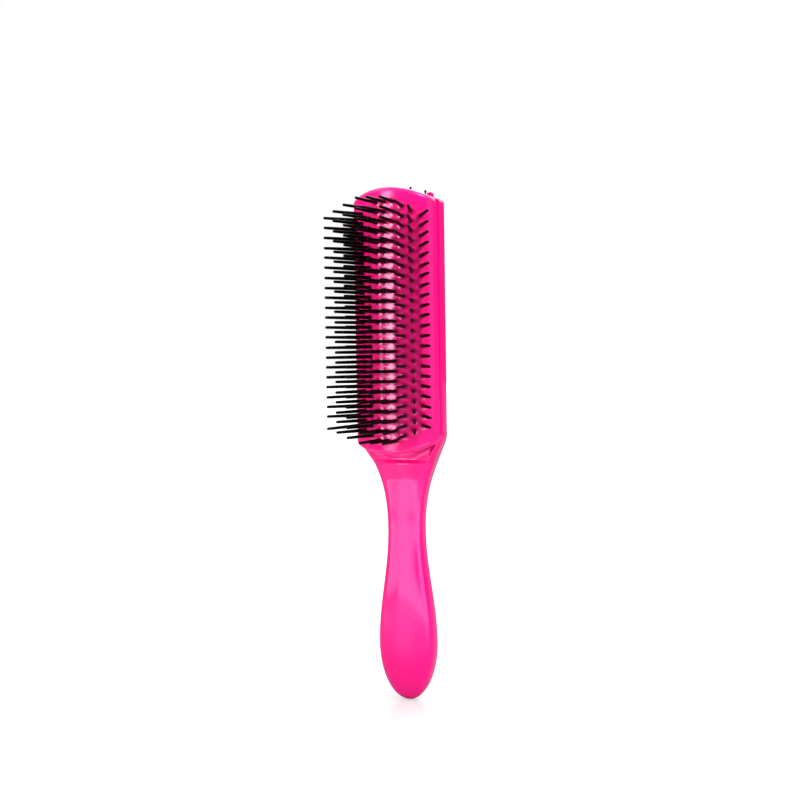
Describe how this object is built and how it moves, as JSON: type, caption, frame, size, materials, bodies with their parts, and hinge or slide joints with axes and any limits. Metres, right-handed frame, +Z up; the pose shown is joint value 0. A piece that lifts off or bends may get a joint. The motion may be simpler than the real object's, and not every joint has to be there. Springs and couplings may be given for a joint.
{
  "type": "hair styling brush",
  "caption": "Half-round hair styling brush with a one-piece handle and head tray, a slide-in arched rubber pad and rows of tapered round-tipped nylon pins.",
  "frame": {"origin": "middle of the handle's rounded end, on the handle's own axis", "axes": "+Z up along the brush from the handle's end to the tip, the pad and its pins face -Y, +X to the right as the pad is looked at"},
  "size_m": [0.0492, 0.0483, 0.233],
  "materials": {
    "handle_plastic": "glossy hot pink moulded plastic",
    "pad_rubber": "satin hot pink natural rubber",
    "pin_nylon": "satin black nylon",
    "locking_pin_steel": "dark plain steel"
  },
  "bodies": {
    "handle_body": {"handle": "handle_plastic"},
    "pad_body": {"rubber_pad": "pad_rubber", "pin_strip_1": "pin_nylon", "pin_strip_2": "pin_nylon", "pin_strip_3": "pin_nylon", "pin_strip_4": "pin_nylon", "pin_strip_5": "pin_nylon", "pin_strip_6": "pin_nylon", "pin_strip_7": "pin_nylon", "pin_strip_8": "pin_nylon", "pin_strip_9": "pin_nylon"},
    "locking_pin_1_body": {"locking_pin_1": "locking_pin_steel"},
    "locking_pin_2_body": {"locking_pin_2": "locking_pin_steel"},
    "locking_pin_3_body": {"locking_pin_3": "locking_pin_steel"}
  },
  "joints": [
    {"name": "pad_slide", "type": "slide", "parent": "handle_body", "child": "pad_body", "axis": [0, 0, 1], "range_m": [0, 0.112]},
    {"name": "locking_pin_1_slide", "type": "slide", "parent": "pad_body", "child": "locking_pin_1_body", "axis": [0, 0, 1], "range_m": [0, 0.014]},
    {"name": "locking_pin_2_slide", "type": "slide", "parent": "pad_body", "child": "locking_pin_2_body", "axis": [0, 0, 1], "range_m": [0, 0.014]},
    {"name": "locking_pin_3_slide", "type": "slide", "parent": "pad_body", "child": "locking_pin_3_body", "axis": [0, 0, 1], "range_m": [0, 0.014]}
  ]
}
